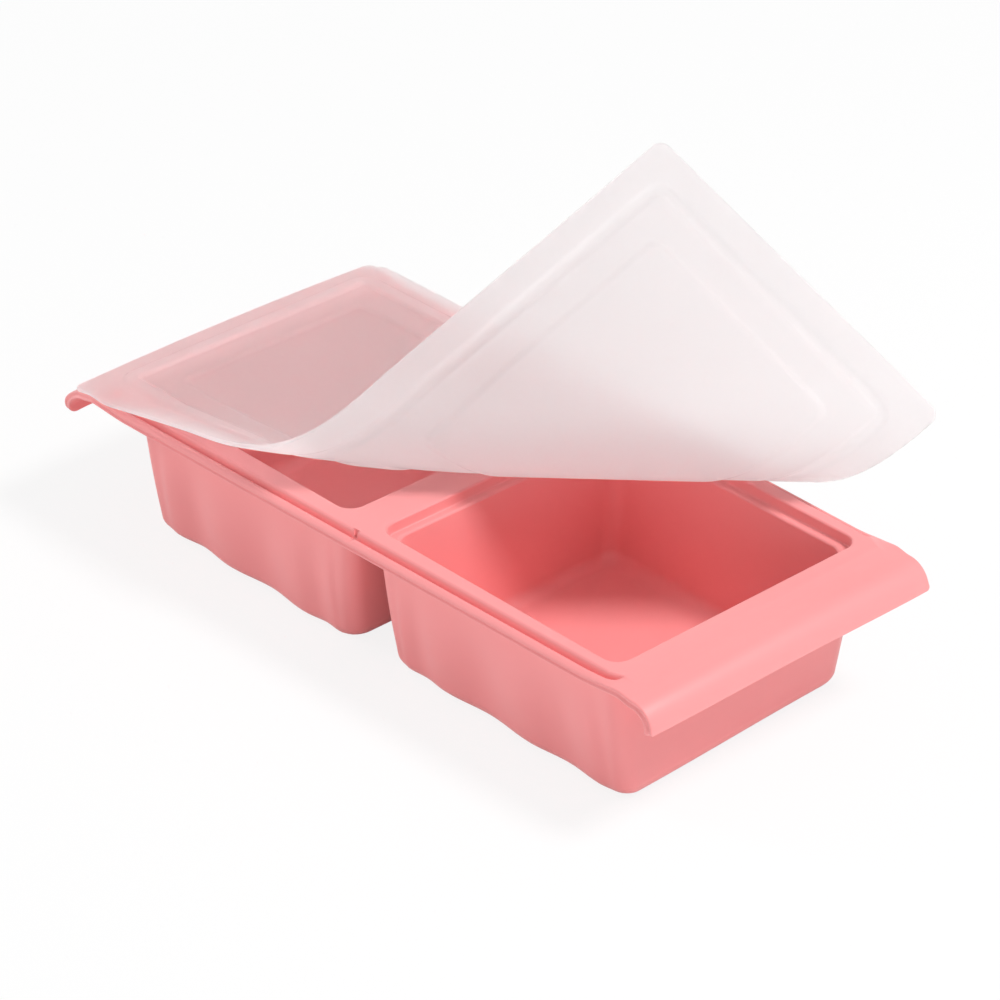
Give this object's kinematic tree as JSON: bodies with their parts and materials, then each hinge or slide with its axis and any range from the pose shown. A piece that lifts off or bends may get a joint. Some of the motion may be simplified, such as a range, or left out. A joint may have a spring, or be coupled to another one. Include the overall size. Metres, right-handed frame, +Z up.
{
  "type": "baby food freezer tray",
  "caption": "Soft freezer tray with two deep wells, curled end handles and a thin translucent lid peeled back over one well.",
  "frame": {"origin": "on the surface the tray stands on, under the middle of the whole with its lid peeled back", "axes": "+X along the two wells towards the open one, +Y from the near long side to the far one, +Z up"},
  "size_m": [0.2208, 0.1165, 0.1167],
  "materials": {
    "coral_silicone": "soft matte silicone, coral pink",
    "clear_silicone": "frosted translucent silicone, faintly milky",
    "steel_wire": "drawn stainless wire"
  },
  "bodies": {
    "tray": {"tray_moulding": "coral_silicone", "rim_wire": "steel_wire"},
    "lid": {"lid_seated": "clear_silicone"},
    "roll_1": {"lid_roll_1": "clear_silicone"},
    "roll_2": {"lid_roll_2": "clear_silicone"},
    "roll_3": {"lid_roll_3": "clear_silicone"},
    "flap": {"lid_flap": "clear_silicone"}
  },
  "joints": [
    {"name": "lid_lift", "type": "slide", "parent": "tray", "child": "lid", "axis": [0, 0, 1], "range_m": [0, 0.08]},
    {"name": "roll_1_turn", "type": "hinge", "parent": "lid", "child": "roll_1", "pos_m": [0.00463, -0.01173, 0.0428], "axis": [-0.7145, -0.6997, 0], "range_deg": [-35, 3]},
    {"name": "roll_2_turn", "type": "hinge", "parent": "roll_1", "child": "roll_2", "pos_m": [0.01164, -0.01889, 0.04982], "axis": [-0.7145, -0.6997, 0], "range_deg": [-35, 3]},
    {"name": "roll_3_turn", "type": "hinge", "parent": "roll_2", "child": "roll_3", "pos_m": [0.01457, -0.02188, 0.06131], "axis": [-0.7145, -0.6997, 0], "range_deg": [-35, 3]},
    {"name": "flap_turn", "type": "hinge", "parent": "roll_3", "child": "flap", "pos_m": [0.01235, -0.01962, 0.07313], "axis": [-0.7145, -0.6997, 0], "range_deg": [-35, 3]}
  ],
  "couplings": [
    {"joint": "roll_1_turn", "follows": "flap_turn", "ratio": 1},
    {"joint": "roll_2_turn", "follows": "flap_turn", "ratio": 1},
    {"joint": "roll_3_turn", "follows": "flap_turn", "ratio": 1}
  ]
}
